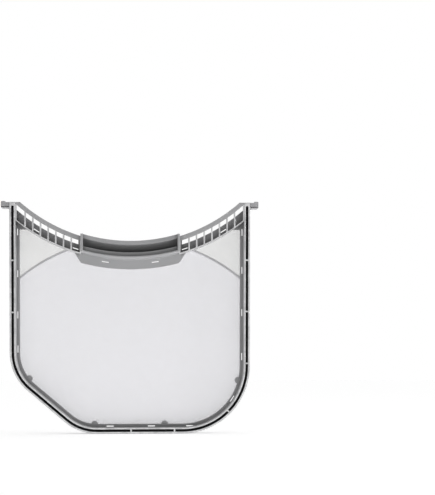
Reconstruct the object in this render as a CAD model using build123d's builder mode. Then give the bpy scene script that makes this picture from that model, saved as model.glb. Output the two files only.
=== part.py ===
"""Tumble dryer lint filter: front frame, sealing strip, mesh screen and rear frame.

Millimetres. X runs across, Z is up, and the handle side faces -Y. The origin is the middle of the
bottom edge. Depths are counted backwards from the front edge of the rim.
"""

import os
from math import asin, cos, degrees, radians, sin, sqrt, tan

from build123d import *

# Body outline, seen from the front
body_width = 334.5
body_height = 323.8
side_draft = 0.46
slant_width = 95.8
slant_height = 80.6
slant_upper_radius = 70.1
slant_lower_radius = 68.7
right_corner_radius = 93.9

# Rim section, from the outside in
outer_wall = 2.6
groove_width = 3.5
inner_wall = 2.4
ledge_width = 4.2
rim_depth = 18.0
ledge_thickness = 2.0
seal_groove_depth = 8.0
groove_web = 2.5
top_bar = 5.1
rim_edge_chamfer = 0.6
groove_edge_chamfer = 0.2

# Bridges across the channel
bridge_width = 2.0
bridge_setback = 0.3
bridge_depth = 0.8
wall_bite = 0.5
left_bridge_heights = (241.8, 169.0)
right_bridge_heights = (242.3, 170.1, 97.3)
bottom_bridge_places = (1.0, 61.5)
corner_bridge_bearing = -45.0

# Slots and pads on the ledge
slot_length = 10.0
slot_width = 1.6
slot_edge = 0.3
top_slot_drop = 40.1
left_slot_heights = (224.5, 166.2, 118.1)
right_slot_heights = (229.5, 169.2, 106.8)
bottom_slot_places = (-28.4, 29.7, 83.6)
corner_slot_bearing = -33.4
pad_radius = 4.6
bottom_pad_places = (-50.0, 48.2)
slant_pad_bearing = 219.7
corner_pad_bearing = -14.6

# Curved top band, which dips from one shoulder to the other
band_shoulder = 14.9
band_dip = 58.2
rail_height = 5.8
rail_depth = 8.0
rail_setback = 1.0
window_height = 16.6
floor_thickness = 1.5
bar_depth = 2.4
back_wall_height = 11.6
window_count = 8
window_bar = 2.1
end_window_stretch = 1.26
window_inner_margin = 1.6
window_outer_margin = 1.6
back_slot_places = (76.9, 132.6)
back_slot_rise = 4.8
mesh_top_drop = 36.8

# Finger trough in the middle of the band
trough_half_width = 65.9
trough_end_wall = 3.2
end_wall_proud = 0.4
end_wall_rise = 0.2
end_wall_step = 1.0
trough_proud = 16.0
trough_rise = 3.1
trough_wall = 2.4
trough_edge = 6.0
trough_shell = 3.0
trough_clear_height = 10.4
trough_clear_depth = 24.0
trough_grip_setback = 8.0
trough_hollow = 3.0
trough_step_height = 6.0
trough_step_setback = 9.0
trough_edge_round = 0.7
gusset_width = 4.4

# Skirt under the trough
skirt_reach = 11.2
skirt_half_width = 70.9
skirt_side_lean = 31.6
skirt_slot_place = 35.4
skirt_slot_drop = 2.8
skirt_left_round = 2.0
skirt_right_round = 10.0

# Ears that the filter hangs by
ear_reach = 11.9
ear_height = 8.2
ear_depth = 12.0
ear_setback = 2.0
ear_round = 1.6
ear_nub_width = 6.4
ear_nub_rise = 1.6
ear_groove_drop = 5.6
ear_groove_height = 1.2
ear_groove_depth = 1.6

# Sealing strip, mesh and rear frame
seal_setback = 1.3
seal_clearance = 0.1
mesh_thickness = 0.4
mesh_overlap = 0.9
mesh_clearance = 0.1
rear_thickness = 3.6
rear_inset = 1.0
rear_hide = 0.3
rear_recess_depth = 2.2
rear_edge_chamfer = 0.8
tongue_clearance = 0.2
tongue_gap = 1.5
arch_radius = 244.7
arch_drop = 48.8
arch_width = 3.0
arch_depth = 2.6

# Places that follow from the sizes above
draft_slope = tan(radians(side_draft))
top_half_width = body_width / 2 + (body_height - slant_height) * draft_slope
band_half_span = top_half_width - band_shoulder
rail_radius = (band_half_span**2 + band_dip**2) / (2 * band_dip)
band_axis_height = body_height - band_dip + rail_radius
band_axis = Axis((0, 0, band_axis_height), (0, 1, 0))
mesh_top = body_height - mesh_top_drop
groove_inset = outer_wall + groove_width / 2
rim_width = outer_wall + groove_width + inner_wall
window_inset = rim_width + ledge_width
slot_inset = rim_width + slot_edge + slot_width / 2
floor_top_radius = rail_radius + rail_height + window_height
floor_radius = floor_top_radius + floor_thickness
back_wall_radius = floor_top_radius - back_wall_height
skirt_radius = floor_radius + skirt_reach
trough_radius = rail_radius - trough_rise
trough_deck_radius = trough_radius + trough_edge + trough_clear_height
trough_floor_top = trough_deck_radius + trough_step_height
trough_floor_radius = trough_floor_top + trough_wall
trough_outer_half = trough_half_width + trough_end_wall
end_wall_front = -trough_proud
trough_front = end_wall_front + end_wall_proud
ledge_depth = rim_depth - ledge_thickness
sheet_back_depth = rim_depth + mesh_thickness
rear_face_depth = sheet_back_depth + rear_thickness
total_depth = trough_proud + rear_face_depth
front_y = trough_proud - total_depth / 2
spare = 60.0


def half_width(height):
    """Half the body's width at a height."""
    return body_width / 2 + (height - slant_height) * draft_slope


def at_depth(depth):
    """Front-view sketch plane at a depth behind the rim's front edge."""
    return Plane.XZ.offset(-(front_y + depth))


def corner_centre(before, corner, after, radius):
    """Centre of the round at an outline corner."""
    to_before = (Vector(before) - Vector(corner)).normalized()
    to_after = (Vector(after) - Vector(corner)).normalized()
    half_angle = radians(to_before.get_angle(to_after) / 2)
    return Vector(corner) + (to_before + to_after).normalized() * (radius / sin(half_angle))


def polar_point(centre, radius, bearing):
    """Point at a radius and bearing from a centre."""
    angle = radians(bearing)
    return (centre.X + radius * cos(angle), centre.Y + radius * sin(angle))


# Outline corners, from the top left round to the top right
above_top = body_height + spare
top_left = (-half_width(above_top), above_top)
slant_top = (-body_width / 2, slant_height)
slant_foot = (slant_width - body_width / 2, 0.0)
right_foot = (half_width(0.0), 0.0)
top_right = (half_width(above_top), above_top)
slant_centre = corner_centre(top_left, slant_top, slant_foot, slant_upper_radius)
right_centre = corner_centre(slant_foot, right_foot, top_right, right_corner_radius)
band_centre = Vector(0, band_axis_height)


def outline(inset, top=body_height):
    """Body outline drawn in by an inset and cut off level at its top."""
    rounds = (
        (slant_top, slant_upper_radius),
        (slant_foot, slant_lower_radius),
        (right_foot, right_corner_radius),
    )
    with BuildSketch() as face:
        with BuildLine():
            Polyline(top_left, slant_top, slant_foot, right_foot, top_right, close=True)
        make_face()
        for corner, radius in rounds:
            fillet(face.vertices().sort_by_distance(Vector(corner))[0], radius)
        if inset:
            offset(amount=-inset)
        with Locations((0, top)):
            Rectangle(2 * body_width, above_top, align=(Align.CENTER, Align.MIN), mode=Mode.SUBTRACT)
    return face.sketch


def ring(inner_radius, outer_radius):
    """Flat ring struck from the band's axis."""
    with BuildSketch() as face:
        with Locations(band_centre):
            Circle(outer_radius)
            Circle(inner_radius, mode=Mode.SUBTRACT)
    return face.sketch


def side_points(left_heights, right_heights, inset):
    """Points on both upright sides of the rim at an inset from its outer edge."""
    left = [(inset - half_width(height), height) for height in left_heights]
    right = [(half_width(height) - inset, height) for height in right_heights]
    return left + right


def arc_slots(places, radius):
    """Slots on both sides of the middle that lie along the band."""
    for place in places:
        bearing = degrees(asin(place / radius))
        for side in (-1, 1):
            with Locations(polar_point(band_centre, radius, side * bearing - 90)):
                Rectangle(slot_length, slot_width, rotation=side * bearing)


# Front-view faces that the pieces share
outer_face = outline(0)
inside_rim_face = outline(rim_width)
joined_face = outline(rim_width - wall_bite)

with BuildSketch() as groove_face:
    add(outline(outer_wall, body_height - top_bar))
    add(outline(outer_wall + groove_width, body_height - top_bar), mode=Mode.SUBTRACT)

with BuildSketch() as bridge_face:
    with Locations(*side_points(left_bridge_heights, right_bridge_heights, groove_inset)):
        Rectangle(groove_width + 2 * wall_bite, bridge_width)
    with Locations(*[(place, groove_inset) for place in bottom_bridge_places]):
        Rectangle(bridge_width, groove_width + 2 * wall_bite)
    with Locations(polar_point(right_centre, right_corner_radius - groove_inset, corner_bridge_bearing)):
        Rectangle(groove_width + 2 * wall_bite, bridge_width, rotation=corner_bridge_bearing)

with BuildSketch() as slot_face:
    top_slot = (body_height - top_slot_drop,)
    with Locations(*side_points(top_slot + left_slot_heights, top_slot + right_slot_heights, slot_inset)):
        Rectangle(slot_width, slot_length)
    with Locations(*[(place, slot_inset) for place in bottom_slot_places]):
        Rectangle(slot_length, slot_width)
    with Locations(polar_point(right_centre, right_corner_radius - slot_inset, corner_slot_bearing)):
        Rectangle(slot_width, slot_length, rotation=corner_slot_bearing)
    arc_slots(back_slot_places, floor_top_radius - back_slot_rise)
    arc_slots((skirt_slot_place,), floor_radius + skirt_slot_drop)

with BuildSketch() as pad_face:
    with Locations(*[(place, window_inset) for place in bottom_pad_places]):
        Circle(pad_radius)
    with Locations(polar_point(slant_centre, slant_upper_radius - window_inset, slant_pad_bearing)):
        Circle(pad_radius)
    with Locations(polar_point(right_centre, right_corner_radius - window_inset, corner_pad_bearing)):
        Circle(pad_radius)

with BuildSketch() as skirt_face:
    lean = tan(radians(skirt_side_lean))
    foot_height = band_axis_height - skirt_radius - skirt_reach
    top_height = band_axis_height - back_wall_radius
    foot_half = skirt_half_width - 2 * skirt_reach * lean
    top_half = foot_half + (top_height - foot_height) * lean
    with BuildLine():
        Polyline(
            (-foot_half, foot_height),
            (foot_half, foot_height),
            (top_half, top_height),
            (-top_half, top_height),
            close=True,
        )
    make_face()
    with Locations(band_centre):
        Circle(skirt_radius, mode=Mode.INTERSECT)
    left_corner = skirt_face.vertices().filter_by(lambda corner: corner.X < 0).sort_by(Axis.Y)[0]
    fillet(left_corner, skirt_left_round)
    right_corner = skirt_face.vertices().filter_by(lambda corner: corner.X > 0).sort_by(Axis.Y)[0]
    fillet(right_corner, skirt_right_round)


def mesh_window(grow):
    """Opening that the mesh fills, grown all round by an amount."""
    with BuildSketch() as skirt_cover:
        add(skirt_face.sketch)
        if grow:
            offset(amount=-grow)
    with BuildSketch() as face:
        add(outline(window_inset - grow, mesh_top + grow))
        with Locations(band_centre):
            Circle(floor_radius - grow, mode=Mode.SUBTRACT)
        add(skirt_cover.sketch, mode=Mode.SUBTRACT)
    return face.sketch


window_face = mesh_window(0)
sheet_face = mesh_window(mesh_overlap)
sheet_seat_face = mesh_window(mesh_overlap + mesh_clearance)
rear_window_face = mesh_window(rear_hide)

with BuildSketch() as band_side_face:
    add(joined_face)
    with Locations((0, body_height)):
        Rectangle(2 * trough_outer_half - 2 * wall_bite, 2 * body_height, mode=Mode.SUBTRACT)

with BuildSketch() as band_window_face:
    window_start = trough_outer_half + window_inner_margin
    window_end = top_half_width - rim_width - window_outer_margin
    window_span = window_end - window_start
    bar_count = window_count - 1
    window_width = (window_span - bar_count * window_bar) / (window_count - 2 + 2 * end_window_stretch)
    first_bar = window_start + end_window_stretch * window_width + window_bar / 2
    bar_places = [first_bar + count * (window_width + window_bar) for count in range(bar_count)]
    window_middle = (window_start + window_end) / 2
    with Locations(*[(side * window_middle, body_height) for side in (-1, 1)]):
        Rectangle(window_span, body_height)
    with Locations(*[(side * place, body_height) for side in (-1, 1) for place in bar_places]):
        Rectangle(window_bar, body_height, mode=Mode.SUBTRACT)
    add(ring(rail_radius + rail_height, floor_top_radius), mode=Mode.INTERSECT)

rail_ring = ring(rail_radius, rail_radius + rail_height)
front_wall_ring = ring(rail_radius, floor_radius)
floor_ring = ring(floor_top_radius, floor_radius)
trough_end_ring = ring(trough_radius - end_wall_proud, trough_floor_radius + end_wall_proud)


def profile_point(depth, radius):
    """Point on the band's middle section at a depth and a radius."""
    return (front_y + depth, band_axis_height - radius)


def profile_box(depth_from, depth_to, radius_from, radius_to, mode=Mode.ADD):
    """Rectangle on the band's middle section."""
    middle = profile_point((depth_from + depth_to) / 2, (radius_from + radius_to) / 2)
    with Locations(middle):
        Rectangle(depth_to - depth_from, radius_to - radius_from, mode=mode)


# Finger trough: a hollow wall that slopes back over a stepped deck, swept round the band's axis
with BuildPart() as trough:
    with BuildSketch(Plane.YZ) as trough_profile:
        step_depth = trough_front + trough_step_setback
        grip_front = trough_front + trough_grip_setback
        deep = trough_front + trough_clear_depth
        wall_end = deep + wall_bite
        wall_middle = (grip_front + wall_end) / 2
        grip_radius = trough_radius + trough_edge
        wall_end_radius = trough_deck_radius - trough_shell
        grip_middle = (grip_radius + trough_deck_radius) / 2 - trough_hollow
        back_middle = (trough_radius + wall_end_radius) / 2 - trough_hollow
        with BuildLine():
            Line(profile_point(grip_front, trough_radius), profile_point(grip_front, grip_radius))
            ThreePointArc(
                profile_point(grip_front, grip_radius),
                profile_point(wall_middle, grip_middle),
                profile_point(wall_end, trough_deck_radius),
            )
            Line(profile_point(wall_end, trough_deck_radius), profile_point(wall_end, wall_end_radius))
            ThreePointArc(
                profile_point(wall_end, wall_end_radius),
                profile_point(wall_middle, back_middle),
                profile_point(grip_front, trough_radius),
            )
        make_face()
        deck_radius = trough_deck_radius + trough_wall
        profile_box(deep, deep + trough_wall, wall_end_radius, deck_radius)
        profile_box(step_depth, deep + trough_wall, trough_deck_radius, deck_radius)
        profile_box(step_depth, step_depth + trough_wall, trough_deck_radius, trough_floor_radius)
        profile_box(trough_front, ledge_depth + wall_bite, trough_floor_top, trough_floor_radius)
        front_corners = trough_profile.vertices().group_by(Axis.X)[:2]
        fillet(front_corners[0] + front_corners[1], trough_edge_round)
    trim_half = trough_half_width + wall_bite
    revolve(axis=band_axis, revolution_arc=degrees(asin(trough_outer_half / trough_radius)))
    mirror(about=Plane.YZ)
    with Locations((0, 0, body_height)):
        Box(2 * trim_half, 2 * total_depth, 2 * body_height, mode=Mode.INTERSECT)

# Front frame
with BuildPart() as front_frame:
    # Rim with its channel on the front and its relief on the back
    with BuildSketch(at_depth(0)):
        add(outer_face)
        add(inside_rim_face, mode=Mode.SUBTRACT)
    extrude(amount=-rim_depth)
    chamfer(front_frame.faces().sort_by(Axis.Y)[0].edges(), rim_edge_chamfer)
    with BuildSketch(at_depth(0)):
        add(groove_face.sketch)
    extrude(amount=-seal_groove_depth, mode=Mode.SUBTRACT)
    chamfer(front_frame.faces().sort_by(Axis.Y)[0].inner_wires().edges(), groove_edge_chamfer)
    with BuildSketch(at_depth(seal_groove_depth + groove_web)):
        add(groove_face.sketch)
    extrude(amount=seal_groove_depth + groove_web - rim_depth, mode=Mode.SUBTRACT)
    with BuildSketch(at_depth(bridge_setback)):
        add(bridge_face.sketch)
    extrude(amount=-bridge_depth)
    # Ledge, corner webs, back wall of the band and skirt, all one plate
    with BuildSketch(at_depth(ledge_depth)):
        add(joined_face)
        with Locations(band_centre):
            Circle(back_wall_radius, mode=Mode.SUBTRACT)
        add(window_face, mode=Mode.SUBTRACT)
        add(pad_face.sketch)
        add(slot_face.sketch, mode=Mode.SUBTRACT)
    extrude(amount=-ledge_thickness)
    # Band with its rail, windows and floor
    with BuildSketch(at_depth(rail_setback)):
        add(front_wall_ring)
        add(band_side_face.sketch, mode=Mode.INTERSECT)
        add(band_window_face.sketch, mode=Mode.SUBTRACT)
    extrude(amount=-bar_depth)
    with BuildSketch(at_depth(rail_setback)):
        add(rail_ring)
        add(band_side_face.sketch, mode=Mode.INTERSECT)
    extrude(amount=-rail_depth)
    with BuildSketch(at_depth(rail_setback)):
        add(floor_ring)
        add(band_side_face.sketch, mode=Mode.INTERSECT)
    extrude(amount=rail_setback - ledge_depth)
    # Webs that close the band beside the trough
    with BuildSketch(at_depth(rail_setback + rail_depth - wall_bite)):
        gusset_middle = trough_outer_half + gusset_width / 2 - wall_bite
        with Locations((-gusset_middle, 0), (gusset_middle, 0)):
            Rectangle(gusset_width, band_axis_height, align=(Align.CENTER, Align.MIN))
        add(ring(rail_radius + wall_bite, floor_top_radius + wall_bite), mode=Mode.INTERSECT)
    extrude(amount=rail_setback + rail_depth - 2 * wall_bite - ledge_depth)
    # Trough between its end walls
    end_wall_middle = trough_outer_half - trough_end_wall / 2
    end_wall_top = band_axis_height - sqrt(trough_radius**2 - trim_half**2) + end_wall_rise
    end_wall_steps = ((grip_front - end_wall_proud, end_wall_top), (end_wall_front, end_wall_top - end_wall_step))
    for step_front, step_top in end_wall_steps:
        with BuildSketch(at_depth(step_front)):
            with Locations((-end_wall_middle, 0), (end_wall_middle, 0)):
                Rectangle(trough_end_wall, step_top, align=(Align.CENTER, Align.MIN))
            add(trough_end_ring, mode=Mode.INTERSECT)
        extrude(amount=step_front - ledge_depth)
        fillet(front_frame.faces().group_by(Axis.Y)[0].edges(), trough_edge_round)
    add(trough.part)
    # Ears
    ear_half = top_half_width + ear_reach
    for side in (-1, 1):
        with BuildSketch(at_depth(ear_setback)):
            with Locations((side * (ear_half - ear_reach / 2 - outer_wall / 2), body_height)):
                RectangleRounded(
                    ear_reach + outer_wall, ear_height, ear_round, align=(Align.CENTER, Align.MAX)
                )
            with Locations((side * (ear_half - ear_nub_width / 2), body_height + ear_nub_rise)):
                RectangleRounded(
                    ear_nub_width, ear_height, ear_round, align=(Align.CENTER, Align.MAX)
                )
        extrude(amount=-ear_depth)
        with BuildSketch(at_depth(ear_setback)):
            with Locations((side * (top_half_width + ear_reach), body_height - ear_groove_drop)):
                Rectangle(2 * (ear_reach - wall_bite), ear_groove_height, align=(Align.CENTER, Align.MAX))
        extrude(amount=-ear_groove_depth, mode=Mode.SUBTRACT)
front_frame.part.label = "front_frame"

# Sealing strip in the channel, under the bridges
with BuildPart() as rim_seal:
    with BuildSketch(at_depth(seal_setback)):
        add(outline(outer_wall + seal_clearance, body_height - top_bar - seal_clearance))
        add(
            outline(outer_wall + groove_width - seal_clearance, body_height - top_bar),
            mode=Mode.SUBTRACT,
        )
    extrude(amount=seal_setback - seal_groove_depth)
rim_seal.part.label = "rim_seal"

# Mesh sheet trapped behind the ledge
with BuildPart() as mesh_screen:
    with BuildSketch(at_depth(rim_depth)):
        add(sheet_face)
    extrude(amount=-mesh_thickness)
mesh_screen.part.label = "mesh_screen"

# Rear frame with its locating tongue, its relieved back and the arch across the mesh
tongue_depth = seal_groove_depth + groove_web + tongue_gap
tongue_top = body_height - top_bar - tongue_gap

with BuildSketch() as rear_face:
    add(outline(rear_inset))
    with Locations(band_centre):
        Circle(back_wall_radius, mode=Mode.SUBTRACT)
    add(rear_window_face, mode=Mode.SUBTRACT)
    add(slot_face.sketch, mode=Mode.SUBTRACT)

with BuildSketch() as tongue_face:
    add(outline(outer_wall + tongue_clearance, tongue_top))
    add(outline(outer_wall + groove_width - tongue_clearance, tongue_top), mode=Mode.SUBTRACT)

with BuildSketch() as arch_face:
    with Locations((0, body_height - arch_drop - arch_radius)):
        Circle(arch_radius + arch_width / 2)
        Circle(arch_radius - arch_width / 2, mode=Mode.SUBTRACT)
    add(mesh_window(rear_hide + wall_bite), mode=Mode.INTERSECT)

with BuildPart() as rear_frame:
    with BuildSketch(at_depth(sheet_back_depth)):
        add(rear_face.sketch)
    extrude(amount=-rear_thickness)
    chamfer(rear_frame.faces().sort_by(Axis.Y)[-1].outer_wire().edges(), rear_edge_chamfer)
    with BuildSketch(at_depth(rear_face_depth)):
        add(groove_face.sketch)
        add(bridge_face.sketch, mode=Mode.SUBTRACT)
    extrude(amount=rear_recess_depth, mode=Mode.SUBTRACT)
    with BuildSketch(at_depth(rim_depth)):
        add(rear_face.sketch)
        add(sheet_seat_face, mode=Mode.SUBTRACT)
    extrude(amount=-mesh_thickness)
    with BuildSketch(at_depth(tongue_depth)):
        add(tongue_face.sketch)
    extrude(amount=tongue_depth - sheet_back_depth)
    with BuildSketch(at_depth(sheet_back_depth)):
        add(arch_face.sketch)
    extrude(amount=-arch_depth)
rear_frame.part.label = "rear_frame"

os.makedirs("parts", exist_ok=True)
export_step(front_frame.part, "parts/front_frame.step")
export_step(rim_seal.part, "parts/rim_seal.step")
export_step(mesh_screen.part, "parts/mesh_screen.step")
export_step(rear_frame.part, "parts/rear_frame.step")
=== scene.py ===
"""Studio scene of a tumble dryer lint filter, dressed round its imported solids.

The two moulded frames keep their solids and get a grained grey plastic. The sealing strip is modelled again
with a rounded crown, and the screen is modelled again as one stretched sheet of fine woven mesh. Every length
is in metres, in the frame of the solids: X across, Y from the handle side to the back, Z up.
"""
import logging
import math
from collections.abc import Callable, Sequence
from dataclasses import dataclass, field
from enum import Enum

import bmesh
import bpy
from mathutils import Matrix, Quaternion, Vector
from mathutils.kdtree import KDTree


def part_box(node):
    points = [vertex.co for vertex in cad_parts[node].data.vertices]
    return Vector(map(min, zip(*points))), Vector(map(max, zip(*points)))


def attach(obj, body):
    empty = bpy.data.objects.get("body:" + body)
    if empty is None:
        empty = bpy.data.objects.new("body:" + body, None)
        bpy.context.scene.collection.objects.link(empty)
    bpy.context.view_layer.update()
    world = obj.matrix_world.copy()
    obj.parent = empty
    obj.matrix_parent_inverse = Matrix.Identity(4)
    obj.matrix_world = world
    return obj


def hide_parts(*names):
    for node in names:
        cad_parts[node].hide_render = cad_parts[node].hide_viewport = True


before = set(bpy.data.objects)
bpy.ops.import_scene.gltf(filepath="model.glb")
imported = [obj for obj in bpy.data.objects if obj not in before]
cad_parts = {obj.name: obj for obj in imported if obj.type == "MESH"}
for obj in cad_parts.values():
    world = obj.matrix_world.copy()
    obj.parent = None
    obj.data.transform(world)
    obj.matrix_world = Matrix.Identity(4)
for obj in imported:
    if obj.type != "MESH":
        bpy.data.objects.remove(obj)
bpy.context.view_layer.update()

BODY = "root"
LOG = logging.getLogger("lint_filter")

SAME_PLACE = 1e-6
FLAT_ANGLE = math.radians(0.5)
SMOOTH_ANGLE = math.radians(40.0)
SIDE_FACE_LIMIT = 0.5
NOISE_SPAN = (0.3, 0.7)

Colour = tuple[float, float, float]
Span = tuple[float, float]
Socket = bpy.types.NodeSocket


class Solid(Enum):
    """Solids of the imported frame, by the names they have there."""

    FRONT_FRAME = "front_frame"
    RIM_SEAL = "rim_seal"
    MESH_SCREEN = "mesh_screen"
    REAR_FRAME = "rear_frame"


class Slot(Enum):
    """Material slots of the record, by the names they have there."""

    RUBBER = "seal_rubber"
    CLOTH = "mesh_cloth"


class ShaderBench:
    """Adds and wires the nodes of one material or world."""

    # Places of the Mix node's sockets for colours, whose names aren't unique
    MIX_COLOURS = (6, 7)
    MIX_RESULT = 2

    def __init__(self, tree: bpy.types.NodeTree) -> None:
        """Empties a node tree and keeps it for wiring.

        Args:
            tree: The tree that the nodes go into.
        """
        self.tree = tree
        tree.nodes.clear()

    def add(self, kind: str, values: dict[str | int, object] | None = None,
            **settings: object) -> bpy.types.Node:
        """Adds one node.

        Args:
            kind: The node's type name.
            values: Values for its input sockets, by name or place.
            settings: Values for the node's own properties.

        Returns:
            The new node.
        """
        node = self.tree.nodes.new(kind)
        for name, value in settings.items():
            setattr(node, name, value)
        for socket, value in (values or {}).items():
            node.inputs[socket].default_value = value
        return node

    def wire(self, source: Socket, target: Socket) -> None:
        """Links an output socket to an input socket."""
        self.tree.links.new(source, target)

    def calc(self, operation: str, first: Socket | float, second: Socket | float = 0.0) -> Socket:
        """Adds a Math node.

        Args:
            operation: The name of the operation.
            first: A socket or a number.
            second: A socket or a number.

        Returns:
            The result's socket.
        """
        node = self.add("ShaderNodeMath", operation=operation)
        for place, value in enumerate((first, second)):
            if isinstance(value, Socket):
                self.wire(value, node.inputs[place])
            else:
                node.inputs[place].default_value = value
        return node.outputs[0]

    def part(self, vector: Socket, axis: str) -> Socket:
        """Takes one coordinate out of a vector.

        Args:
            vector: The vector's socket.
            axis: The coordinate's letter, X, Y or Z.

        Returns:
            The coordinate's socket.
        """
        node = self.add("ShaderNodeSeparateXYZ")
        self.wire(vector, node.inputs[0])
        return node.outputs[axis]

    def ramp(self, value: Socket, low: float, high: float,
             out_low: float = 0.0, out_high: float = 1.0) -> Socket:
        """Maps a value from one range to another, with its ends held.

        Args:
            value: The socket that gives the value.
            low: The value that becomes out_low.
            high: The value that becomes out_high.
            out_low: The result at low.
            out_high: The result at high.

        Returns:
            The mapped value's socket.
        """
        limits = {"From Min": low, "From Max": high, "To Min": out_low, "To Max": out_high}
        node = self.add("ShaderNodeMapRange", limits, clamp=True)
        self.wire(value, node.inputs["Value"])
        return node.outputs[0]

    def within(self, value: Socket, low: float, high: float, fade: float) -> Socket:
        """Marks where a value lies between two limits.

        Args:
            value: The socket that gives the value.
            low: The lower limit.
            high: The upper limit.
            fade: How far beyond a limit the mark fades out.

        Returns:
            A socket that is 1 between the limits and 0 well beyond them.
        """
        return self.calc("MULTIPLY", self.ramp(value, low - fade, low), self.ramp(value, high + fade, high))

    def radius(self, place: Socket, centre: Span) -> Socket:
        """Measures the distance from an axis that runs along Y.

        Args:
            place: The socket of the coordinates.
            centre: Where the axis lies in X and Z.

        Returns:
            The distance's socket.
        """
        flat = self.add("ShaderNodeVectorMath", {1: (1.0, 0.0, 1.0)}, operation="MULTIPLY")
        self.wire(place, flat.inputs[0])
        ring = self.add("ShaderNodeVectorMath", {1: (centre[0], 0.0, centre[1])}, operation="DISTANCE")
        self.wire(flat.outputs[0], ring.inputs[0])
        return ring.outputs["Value"]

    def noise(self, place: Socket, scale: float, octaves: float) -> Socket:
        """Adds a noise pattern.

        Args:
            place: The socket of the coordinates.
            scale: How many features a metre holds.
            octaves: How many finer octaves are added.

        Returns:
            The socket of the noise, about 0.3 to 0.7.
        """
        node = self.add("ShaderNodeTexNoise", {"Scale": scale, "Detail": octaves})
        self.wire(place, node.inputs["Vector"])
        return node.outputs["Fac"]

    def blend(self, share: Socket, first: Socket | Colour, second: Socket | Colour) -> Socket:
        """Mixes two colours.

        Args:
            share: The socket of the second colour's share.
            first: A socket or a colour.
            second: A socket or a colour.

        Returns:
            The mixed colour's socket.
        """
        node = self.add("ShaderNodeMix", data_type="RGBA")
        self.wire(share, node.inputs[0])
        for place, value in zip(self.MIX_COLOURS, (first, second)):
            if isinstance(value, Socket):
                self.wire(value, node.inputs[place])
            else:
                node.inputs[place].default_value = (*value, 1.0)
        return node.outputs[self.MIX_RESULT]

    def relief(self, height: Socket, strength: float, distance: float) -> bpy.types.Node:
        """Adds a bump.

        Args:
            height: The socket of the height.
            strength: The bump's share, from 0 to 1.
            distance: How deep a height of 1 is.

        Returns:
            The bump's node.
        """
        node = self.add("ShaderNodeBump", {"Strength": strength, "Distance": distance})
        self.wire(height, node.inputs["Height"])
        return node

    def finish(self, shader: Socket, kind: str = "ShaderNodeOutputMaterial") -> None:
        """Wires a shader to the tree's output."""
        self.wire(shader, self.add(kind).inputs["Surface"])


def new_material(name: str) -> tuple[bpy.types.Material, ShaderBench]:
    """Makes an empty material.

    Args:
        name: The material's name.

    Returns:
        The material and the bench for its nodes.
    """
    material = bpy.data.materials.new(name)
    material.use_nodes = True
    return material, ShaderBench(material.node_tree)


def scaled(colour: Colour, factor: float) -> Colour:
    """Returns a colour with every channel multiplied by a factor."""
    return tuple(channel * factor for channel in colour)


def eased(share: float) -> float:
    """Returns a share that is held between 0 and 1 and starts and ends gently."""
    held = min(1.0, max(0.0, share))
    return held * held * (3.0 - 2.0 * held)


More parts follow.
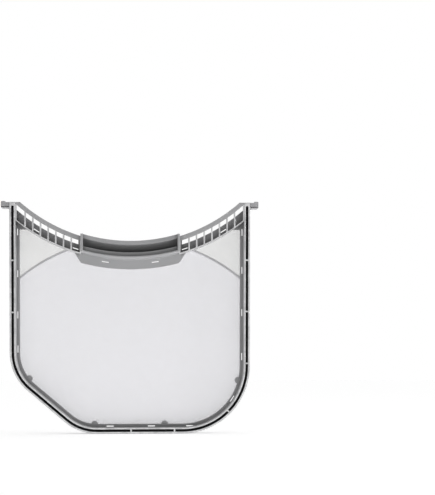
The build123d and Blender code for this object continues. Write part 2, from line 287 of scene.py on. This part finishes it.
@dataclass(frozen=True)
class GreyPlastic:
    """Satin grey moulded plastic with a fine grain, a painted highlight on its edges and on the fronts of its
    rim and bars, and painted shade in its recesses.
    """

    base: Colour = (0.372, 0.372, 0.379)
    mottle: float = 0.05
    mottle_scale: float = 16.0
    specular: float = 0.35
    roughness: Span = (0.42, 0.56)
    gloss_scale: float = 60.0
    grain_scale: float = 1500.0
    grain_strength: float = 0.35
    grain_height: float = 0.00008

    # Painted highlight on the edges, found by how far a small round would turn the surface
    edge_highlight_colour: Colour = (0.57, 0.57, 0.575)
    edge_radius: float = 0.0009
    edge_samples: int = 6
    edge_turn: Span = (0.995, 0.88)
    patch_scale: float = 140.0
    patch_span: Span = (0.3, 0.65)
    least_highlight: float = 0.35

    # Painted highlight on the fronts of the rim and of the bars under the band's rail
    front_highlight_colour: Colour = (0.72, 0.72, 0.725)
    rim_front: Span = (-0.0031, -0.0027)
    rim_fade: float = 0.0003
    bar_front: Span = (-0.0022, -0.0018)
    bar_fade: float = 0.0001
    band_centre: Span = (0.0, 0.4992)
    bar_ring: Span = (0.2394, 0.2398)
    facing_front: Span = (-0.5, -0.9)

    # Painted shade in sheltered places, darker the more the surface is hidden, but not on the skirt under the
    # trough
    recess_shade: Colour = (0.20, 0.20, 0.202)
    recess_shade_reach: float = 0.012
    recess_shade_samples: int = 8
    recess_shade_range: Span = (0.85, 0.40)
    unshaded_ring: Span = (0.2553, 0.2690)
    unshaded_ring_fade: float = 0.0005
    unshaded_half_width: float = 0.071
    unshaded_side_fade: float = 0.002

    def make(self) -> bpy.types.Material:
        """Builds the material.

        Returns:
            The new material.
        """
        material, bench = new_material("grey_plastic")
        place = bench.add("ShaderNodeTexCoord").outputs["Object"]
        faces = bench.add("ShaderNodeNewGeometry").outputs["Normal"]
        rounding = bench.add("ShaderNodeBevel", {"Radius": self.edge_radius}, samples=self.edge_samples)
        softened = rounding.outputs[0]
        shader = bench.add("ShaderNodeBsdfPrincipled", {"Specular IOR Level": self.specular})

        cloud = bench.ramp(bench.noise(place, self.mottle_scale, octaves=3.0), *NOISE_SPAN)
        body = bench.blend(cloud, scaled(self.base, 1.0 - self.mottle), scaled(self.base, 1.0 + self.mottle))
        blotches = bench.noise(place, self.patch_scale, octaves=2.0)
        patchy = bench.ramp(blotches, *self.patch_span, self.least_highlight, 1.0)
        # Painted highlight: the edges are made paler, in patches
        edge = bench.calc("MULTIPLY", self.edge_highlight_share(bench, faces, softened), patchy)
        highlit = bench.blend(edge, body, self.edge_highlight_colour)
        from_axis = bench.radius(place, self.band_centre)
        # Painted shade: sheltered places are darkened towards a dark grey
        shade_darkened = bench.blend(self.recess_shade_share(bench, place, from_axis), highlit, self.recess_shade)
        front_highlight = bench.calc("MULTIPLY", self.front_highlight_share(bench, place, faces, from_axis), patchy)
        # Painted highlight: the fronts of the rim and bars are made paler over everything else
        bench.wire(bench.blend(front_highlight, shade_darkened, self.front_highlight_colour), shader.inputs["Base Color"])

        pits = bench.noise(place, self.grain_scale, octaves=2.0)
        grain = bench.relief(pits, self.grain_strength, self.grain_height)
        bench.wire(softened, grain.inputs["Normal"])
        bench.wire(grain.outputs[0], shader.inputs["Normal"])
        gloss = bench.noise(place, self.gloss_scale, octaves=3.0)
        bench.wire(bench.ramp(gloss, *NOISE_SPAN, *self.roughness), shader.inputs["Roughness"])
        bench.finish(shader.outputs[0])
        return material

    def edge_highlight_share(self, bench: ShaderBench, faces: Socket, softened: Socket) -> Socket:
        """Marks the edges, which get a painted highlight.

        Args:
            bench: The bench that the nodes go onto.
            faces: The socket of the surface's normal.
            softened: The socket of the normal with its edges rounded.

        Returns:
            A socket that is 1 at an edge and 0 on a flat face.
        """
        turn = bench.add("ShaderNodeVectorMath", operation="DOT_PRODUCT")
        bench.wire(softened, turn.inputs[0])
        bench.wire(faces, turn.inputs[1])
        return bench.ramp(turn.outputs["Value"], *self.edge_turn)

    def front_highlight_share(self, bench: ShaderBench, place: Socket, faces: Socket, from_axis: Socket) -> Socket:
        """Marks the fronts of the rim and of the bars, which get a painted highlight.

        Args:
            bench: The bench that the nodes go onto.
            place: The socket of the coordinates.
            faces: The socket of the surface's normal.
            from_axis: The socket of the distance from the band's axis.

        Returns:
            A socket that is 1 on those fronts and 0 elsewhere.
        """
        depth = bench.part(place, "Y")
        rim = bench.within(depth, *self.rim_front, self.rim_fade)
        bar_plane = bench.within(depth, *self.bar_front, self.bar_fade)
        bars = bench.calc("MULTIPLY", bar_plane, bench.ramp(from_axis, *self.bar_ring))
        forward = bench.ramp(bench.part(faces, "Y"), *self.facing_front)
        return bench.calc("MULTIPLY", bench.calc("MAXIMUM", rim, bars), forward)

    def recess_shade_share(self, bench: ShaderBench, place: Socket, from_axis: Socket) -> Socket:
        """Marks the recesses that get painted shade.

        Args:
            bench: The bench that the nodes go onto.
            place: The socket of the coordinates.
            from_axis: The socket of the distance from the band's axis.

        Returns:
            A socket that is 1 deep in a recess, and 0 on open faces and on the skirt.
        """
        shelter = bench.add("ShaderNodeAmbientOcclusion", {"Distance": self.recess_shade_reach},
                            samples=self.recess_shade_samples, only_local=True)
        sheltered_share = bench.ramp(shelter.outputs["AO"], *self.recess_shade_range)
        ring = bench.within(from_axis, *self.unshaded_ring, self.unshaded_ring_fade)
        half = self.unshaded_half_width
        width = bench.within(bench.part(place, "X"), -half, half, self.unshaded_side_fade)
        skirt = bench.calc("MULTIPLY", ring, width)
        return bench.calc("MULTIPLY", sheltered_share, bench.calc("SUBTRACT", 1.0, skirt))


@dataclass(frozen=True)
class BlackRubberAndShade:
    """Dull black rubber with a faint bloom, near black so that it also stands in as painted shade for the
    deep rim channel it lies in.
    """

    # Near black, also standing in as painted shade for the deep rim channel
    base: Colour = (0.003, 0.003, 0.0034)
    bloom: Colour = (0.007, 0.007, 0.008)
    bloom_scale: float = 45.0
    bloom_span: Span = (0.35, 0.7)
    specular: float = 0.07
    roughness: Span = (0.68, 0.86)
    pore_scale: float = 1200.0
    pore_strength: float = 0.4
    pore_height: float = 0.0001

    def make(self) -> bpy.types.Material:
        """Builds the material.

        Returns:
            The new material.
        """
        material, bench = new_material("black_rubber_and_shade")
        place = bench.add("ShaderNodeTexCoord").outputs["Object"]
        shader = bench.add("ShaderNodeBsdfPrincipled", {"Specular IOR Level": self.specular})
        cloud = bench.ramp(bench.noise(place, self.bloom_scale, octaves=4.0), *self.bloom_span)
        bench.wire(bench.blend(cloud, self.base, self.bloom), shader.inputs["Base Color"])
        bench.wire(bench.ramp(cloud, 0.0, 1.0, *self.roughness), shader.inputs["Roughness"])
        pits = bench.noise(place, self.pore_scale, octaves=2.0)
        pores = bench.relief(pits, self.pore_strength, self.pore_height)
        bench.wire(pores.outputs[0], shader.inputs["Normal"])
        bench.finish(shader.outputs[0])
        return material


@dataclass(frozen=True)
class WovenMesh:
    """Fine pale plain weave that lets a little of what lies behind it show."""

    # The upper threads are painted lighter than the lower ones, to make up for the weaker light up there
    thread_upper: Colour = (0.88, 0.88, 0.872)
    thread_lower: Colour = (0.85, 0.843, 0.885)
    gap_shade: float = 0.84
    gap_span: Span = (0.15, 0.6)
    opacity: float = 0.40
    specular: float = 0.2
    sheen: float = 0.15
    roughness: Span = (0.75, 0.55)

    # Weave: each thread swings over and under its neighbours about its mean height
    pitch: float = 0.0009
    thread_mean: float = 0.6
    thread_swing: float = 0.4
    thread_top: float = 0.8
    thread_strength: float = 0.5
    thread_height: float = 0.00012
    slub_scale: float = 90.0
    slub_most: float = 0.12
    slub_shade: float = 0.8

    # The tint changes along the rear frame's arch; above the arch the threads are also painted lighter, to
    # make up for the weaker light that falls on the upper sheet
    arch_centre: Span = (0.0, 0.0303)
    arch_radius: float = 0.2447
    arch_fade: float = 0.001

    def make(self) -> bpy.types.Material:
        """Builds the material.

        Returns:
            The new material.
        """
        material, bench = new_material("woven_mesh")
        place = bench.add("ShaderNodeTexCoord").outputs["Object"]
        shader = bench.add("ShaderNodeBsdfPrincipled", {
            "Alpha": self.opacity, "Specular IOR Level": self.specular, "Sheen Weight": self.sheen,
        })
        height = self.weave(bench, place)
        below = bench.ramp(bench.radius(place, self.arch_centre), self.arch_radius + self.arch_fade,
                           self.arch_radius - self.arch_fade)
        thread = bench.blend(below, self.thread_upper, self.thread_lower)
        gap = bench.blend(below, scaled(self.thread_upper, self.gap_shade),
                          scaled(self.thread_lower, self.gap_shade))
        woven = bench.blend(bench.ramp(height, *self.gap_span), gap, thread)
        slub = bench.ramp(bench.noise(place, self.slub_scale, octaves=3.0), *NOISE_SPAN, 0.0, self.slub_most)
        tint = bench.blend(slub, woven, scaled(self.thread_upper, self.slub_shade))
        bench.wire(tint, shader.inputs["Base Color"])

        threads = bench.relief(height, self.thread_strength, self.thread_height)
        bench.wire(threads.outputs[0], shader.inputs["Normal"])
        bench.wire(bench.ramp(height, 0.0, self.thread_top, *self.roughness), shader.inputs["Roughness"])
        bench.finish(shader.outputs[0])
        return material

    def weave(self, bench: ShaderBench, place: Socket) -> Socket:
        """Lays warp and weft over and under each other.

        Args:
            bench: The bench that the nodes go onto.
            place: The socket of the coordinates.

        Returns:
            The socket of the threads' height.
        """
        turn = math.pi / self.pitch
        across = bench.calc("SINE", bench.calc("MULTIPLY", bench.part(place, "X"), turn))
        along = bench.calc("SINE", bench.calc("MULTIPLY", bench.part(place, "Z"), turn))
        over = bench.calc("MULTIPLY", bench.calc("MULTIPLY", across, along), self.thread_swing)
        rise = bench.calc("ADD", over, self.thread_mean)
        dip = bench.calc("SUBTRACT", self.thread_mean, over)
        warp = bench.calc("MULTIPLY", bench.calc("ABSOLUTE", across), rise)
        weft = bench.calc("MULTIPLY", bench.calc("ABSOLUTE", along), dip)
        return bench.calc("MAXIMUM", warp, weft)


@dataclass(frozen=True)
class WhiteFloor:
    """Matt white paper that shows white to the camera and keeps the object's soft shadow."""

    paper: Colour = (0.82, 0.82, 0.82)
    lift: float = 0.52

    def make(self) -> bpy.types.Material:
        """Builds the material.

        Returns:
            The new material.
        """
        material, bench = new_material("white_floor")
        paper = bench.add("ShaderNodeBsdfDiffuse", {"Color": (*self.paper, 1.0)})
        white = bench.add("ShaderNodeEmission")
        bench.wire(bench.calc("MULTIPLY", seen_directly(bench), self.lift), white.inputs["Strength"])
        both = bench.add("ShaderNodeAddShader")
        bench.wire(paper.outputs[0], both.inputs[0])
        bench.wire(white.outputs[0], both.inputs[1])
        bench.finish(both.outputs[0])
        return material


def seen_directly(bench: ShaderBench) -> Socket:
    """Adds a test for rays that show the background itself.

    Args:
        bench: The bench that the nodes go onto.

    Returns:
        A socket that is 1 for camera, glossy and transmission rays.
    """
    path = bench.add("ShaderNodeLightPath").outputs
    either = bench.calc("MAXIMUM", path["Is Camera Ray"], path["Is Glossy Ray"])
    return bench.calc("MAXIMUM", either, path["Is Transmission Ray"])


def deselect_all() -> None:
    """Leaves edit mode and deselects every object."""
    if bpy.context.object and bpy.context.object.mode != "OBJECT":
        bpy.ops.object.mode_set(mode="OBJECT")
    bpy.ops.object.select_all(action="DESELECT")


def make_active(piece: bpy.types.Object) -> None:
    """Selects one object alone and makes it active."""
    deselect_all()
    piece.select_set(True)
    bpy.context.view_layer.objects.active = piece


def copy_of(solid: Solid, name: str) -> bpy.types.Object:
    """Copies a solid's mesh into a new piece, with its loose triangles merged and its flat faces whole.

    Args:
        solid: The solid to copy.
        name: The new piece's name.

    Returns:
        The new piece, active and in edit mode, with everything selected.
    """
    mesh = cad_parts[solid.value].data.copy()
    mesh.name = name
    mesh.materials.clear()
    piece = bpy.data.objects.new(name, mesh)
    bpy.context.scene.collection.objects.link(piece)
    make_active(piece)
    bpy.ops.mesh.customdata_custom_splitnormals_clear()
    bpy.ops.object.mode_set(mode="EDIT")
    bpy.ops.mesh.select_all(action="SELECT")
    bpy.ops.mesh.remove_doubles(threshold=SAME_PLACE)
    bpy.ops.mesh.mark_sharp(clear=True)
    bpy.ops.mesh.dissolve_limited(angle_limit=FLAT_ANGLE)
    bpy.ops.mesh.select_all(action="SELECT")
    return piece


def select_edges(piece: bpy.types.Object, test: Callable[[bmesh.types.BMEdge], bool]) -> int:
    """Selects the edges of a piece in edit mode that pass a test.

    Args:
        piece: The piece, in edit mode.
        test: Says whether an edge is taken.

    Returns:
        How many edges are selected.
    """
    bpy.ops.mesh.select_mode(type="EDGE")
    bpy.ops.mesh.select_all(action="DESELECT")
    mesh = bmesh.from_edit_mesh(piece.data)
    taken = [edge for edge in mesh.edges if test(edge)]
    for edge in taken:
        edge.select_set(True)
    bmesh.update_edit_mesh(piece.data)
    return len(taken)


def dress(piece: bpy.types.Object, material: bpy.types.Material) -> None:
    """Gives a piece one material in place of those it has."""
    piece.data.materials.clear()
    piece.data.materials.append(material)


@dataclass
class MouldedFrames:
    """The front and the rear moulding, whose solids are shown as they are."""

    solids: Sequence[Solid] = (Solid.FRONT_FRAME, Solid.REAR_FRAME)
    finish: GreyPlastic = field(default_factory=GreyPlastic)

    def build(self) -> list[bpy.types.Object]:
        """Dresses both mouldings.

        Returns:
            The two mouldings.
        """
        material = self.finish.make()
        shown = [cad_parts[solid.value] for solid in self.solids]
        for moulding in shown:
            for slot in moulding.material_slots:
                slot.material = material
        return shown


@dataclass
class SealStrip:
    """The black sealing strip in the rim's channel, with a rounded crown; its near-black colour also stands
    in as painted shade for the depth of that channel.
    """

    crown_radius: float = 0.0009
    crown_steps: int = 3
    crown_profile: float = 0.5
    least_crease: float = 0.8
    finish: BlackRubberAndShade = field(default_factory=BlackRubberAndShade)

    def build(self) -> list[bpy.types.Object]:
        """Models and dresses the strip.

        Returns:
            The strip, in a list.
        """
        piece = self.model()
        dress(piece, self.finish.make())
        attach(piece, BODY)
        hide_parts(Solid.RIM_SEAL.value)
        return [piece]

    def model(self) -> bpy.types.Object:
        """Rounds the front edges of a copy of the solid strip.

        Returns:
            The new piece.
        """
        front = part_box(Solid.RIM_SEAL.value)[0].y
        piece = copy_of(Solid.RIM_SEAL, "seal_bead")

        def is_front_edge(edge: bmesh.types.BMEdge) -> bool:
            """Says whether an edge lies along a corner of the strip's front."""
            at_front = all(abs(corner.co.y - front) < SAME_PLACE for corner in edge.verts)
            return at_front and len(edge.link_faces) == 2 and edge.calc_face_angle(0.0) > self.least_crease

        found = select_edges(piece, is_front_edge)
        bpy.ops.mesh.bevel(offset=self.crown_radius, segments=self.crown_steps,
                           profile=self.crown_profile, clamp_overlap=True)
        bpy.ops.object.mode_set(mode="OBJECT")
        bpy.ops.object.shade_smooth_by_angle(angle=SMOOTH_ANGLE)
        LOG.info("seal crown rounded along %d edges", found)
        return piece


@dataclass
class MeshScreen:
    """The fine mesh, one sheet stretched between the two mouldings."""

    flat_size: Span = (0.3142, 0.2761)
    flat_area: float = 0.0708
    thickness: float = 0.0003
    cell: float = 0.012
    belly: float = 0.0005
    ripple: float = 0.00012
    ripple_length: float = 0.055
    ripple_slant: float = 0.4
    ripple_stretch: float = 0.7
    held_margin: float = 0.010
    held_fade: float = 0.05
    finish: WovenMesh = field(default_factory=WovenMesh)

    def build(self) -> list[bpy.types.Object]:
        """Models and dresses the sheet.

        Returns:
            The sheet, in a list.
        """
        piece = self.model()
        dress(piece, self.finish.make())
        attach(piece, BODY)
        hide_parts(Solid.MESH_SCREEN.value)
        return [piece]

    def model(self) -> bpy.types.Object:
        """Cuts a copy of the solid sheet into cells, then thins and slackens it.

        Returns:
            The new piece.
        """
        low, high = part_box(Solid.MESH_SCREEN.value)
        piece = copy_of(Solid.MESH_SCREEN, "mesh_sheet")
        for axis, normal in ((0, (1.0, 0.0, 0.0)), (2, (0.0, 0.0, 1.0))):
            count = round((high[axis] - low[axis]) / self.cell)
            for step in range(1, count):
                point = Vector((0.0, 0.0, 0.0))
                point[axis] = low[axis] + (high[axis] - low[axis]) * step / count
                bpy.ops.mesh.select_all(action="SELECT")
                bpy.ops.mesh.bisect(plane_co=point, plane_no=normal)
        bpy.ops.object.mode_set(mode="OBJECT")
        self.slacken(piece, (low.y + high.y) / 2.0)
        bpy.ops.object.shade_smooth_by_angle(angle=SMOOTH_ANGLE)
        return piece

    def slacken(self, piece: bpy.types.Object, middle: float) -> None:
        """Thins the sheet and gives it a slight belly and ripples that die out at its held edge.

        Args:
            piece: The sheet, in object mode.
            middle: The depth of the solid sheet's middle.
        """
        held_edge = self.find_held_edge(piece)
        wave = 2.0 * math.pi / self.ripple_length
        for vertex in piece.data.vertices:
            distance = held_edge.find(vertex.co)[2]
            free = eased((distance - self.held_margin) / self.held_fade)
            across = math.sin(wave * (vertex.co.x + self.ripple_slant * vertex.co.z))
            wobble = across * math.cos(wave * self.ripple_stretch * vertex.co.z)
            side = self.thickness / 2.0 if vertex.co.y > middle else -self.thickness / 2.0
            vertex.co.y = middle + side + free * (self.belly + self.ripple * wobble)

    def find_held_edge(self, piece: bpy.types.Object) -> KDTree:
        """Gathers the points of the sheet's outer edge.

        Args:
            piece: The sheet, in object mode.

        Returns:
            A tree that finds the nearest of those points.
        """
        shape = bmesh.new()
        shape.from_mesh(piece.data)
        edge = [vertex.co.copy() for vertex in shape.verts
                if any(abs(face.normal.y) < SIDE_FACE_LIMIT for face in vertex.link_faces)]
        shape.free()
        tree = KDTree(len(edge))
        for place, point in enumerate(edge):
            tree.insert(point, place)
        tree.balance()
        return tree


@dataclass(frozen=True)
class Lamp:
    """One soft area lamp."""

    name: str
    place: tuple[float, float, float]
    target: tuple[float, float, float]
    size: Span
    power: float

    def build(self) -> None:
        """Makes the lamp, aims it and adds it to the scene."""
        light = bpy.data.lights.new(self.name, "AREA")
        light.shape = "RECTANGLE"
        light.size, light.size_y = self.size
        light.energy = self.power
        lamp = bpy.data.objects.new(self.name, light)
        lamp.location = self.place
        lamp.rotation_euler = (Vector(self.target) - Vector(self.place)).to_track_quat("-Z", "Y").to_euler()
        lamp.visible_camera = False
        bpy.context.scene.collection.objects.link(lamp)


@dataclass
class Studio:
    """Floor, world, lamps and camera."""

    floor_size: float = 8.0
    floor_cells: int = 4
    floor_finish: WhiteFloor = field(default_factory=WhiteFloor)
    sky: float = 0.20
    crown: float = 1.0
    crown_edge: Span = (0.6, 0.85)
    lamps: Sequence[Lamp] = (
        Lamp("front_light_table", (0.40, -1.253, 0.0005), (0.40, -1.253, 1.0), (3.0, 2.5), 22.0),
        Lamp("rear_light_table", (0.0, 1.27, 0.0005), (0.0, 1.27, 1.0), (3.0, 2.5), 20.0),
        Lamp("low_right_softbox", (1.60, -0.20, 0.08), (0.0, 0.0, 0.14), (0.5, 0.15), 11.0),
    )
    eye: tuple[float, float, float] = (0.0, -1.503, 0.1)
    aim: tuple[float, float, float] = (0.0597, -0.003, 0.1765)
    roll: float = -0.0025
    lens: float = 78.06
    shift: Span = (0.09, 0.12)

    def build(self) -> None:
        """Sets up the whole studio."""
        bpy.context.scene.view_settings.view_transform = "Standard"
        self.lay_floor()
        self.light_world()
        for lamp in self.lamps:
            lamp.build()
        self.place_camera()

    def lay_floor(self) -> None:
        """Lays the floor under the object."""
        deselect_all()
        bpy.ops.mesh.primitive_grid_add(x_subdivisions=self.floor_cells, y_subdivisions=self.floor_cells,
                                        size=self.floor_size)
        floor = bpy.context.object
        floor.name = floor.data.name = "floor"
        dress(floor, self.floor_finish.make())

    def light_world(self) -> None:
        """Makes a world that is white to look at and gives a little light, most of it from its crown."""
        world = bpy.data.worlds.new("studio_world")
        world.use_nodes = True
        bench = ShaderBench(world.node_tree)
        height = bench.part(bench.add("ShaderNodeTexCoord").outputs["Generated"], "Z")
        dim = bench.add("ShaderNodeBackground")
        bench.wire(bench.ramp(height, *self.crown_edge, self.sky, self.crown), dim.inputs["Strength"])
        white = bench.add("ShaderNodeBackground", {"Strength": 1.0})
        for background in (dim, white):
            background.inputs["Color"].default_value = (1.0, 1.0, 1.0, 1.0)
        pick = bench.add("ShaderNodeMixShader")
        bench.wire(seen_directly(bench), pick.inputs[0])
        bench.wire(dim.outputs[0], pick.inputs[1])
        bench.wire(white.outputs[0], pick.inputs[2])
        bench.finish(pick.outputs[0], "ShaderNodeOutputWorld")
        bpy.context.scene.world = world

    def place_camera(self) -> None:
        """Places the camera at the photograph's viewpoint."""
        data = bpy.data.cameras.new("camera")
        data.lens = self.lens
        data.shift_x, data.shift_y = self.shift
        camera = bpy.data.objects.new("camera", data)
        camera.location = self.eye
        level = (Vector(self.aim) - Vector(self.eye)).to_track_quat("-Z", "Y")
        camera.rotation_euler = (level @ Quaternion((0.0, 0.0, 1.0), self.roll)).to_euler()
        bpy.context.scene.collection.objects.link(camera)
        bpy.context.scene.camera = camera


def main() -> None:
    """Builds the studio and the object's pieces in order."""
    logging.basicConfig(level=logging.INFO, format="%(name)s: %(message)s")
    Studio().build()
    for assembly in (MouldedFrames(), SealStrip(), MeshScreen()):
        for piece in assembly.build():
            LOG.info("%s: %s, %d faces", type(assembly).__name__, piece.name, len(piece.data.polygons))


if __name__ == "__main__":
    main()
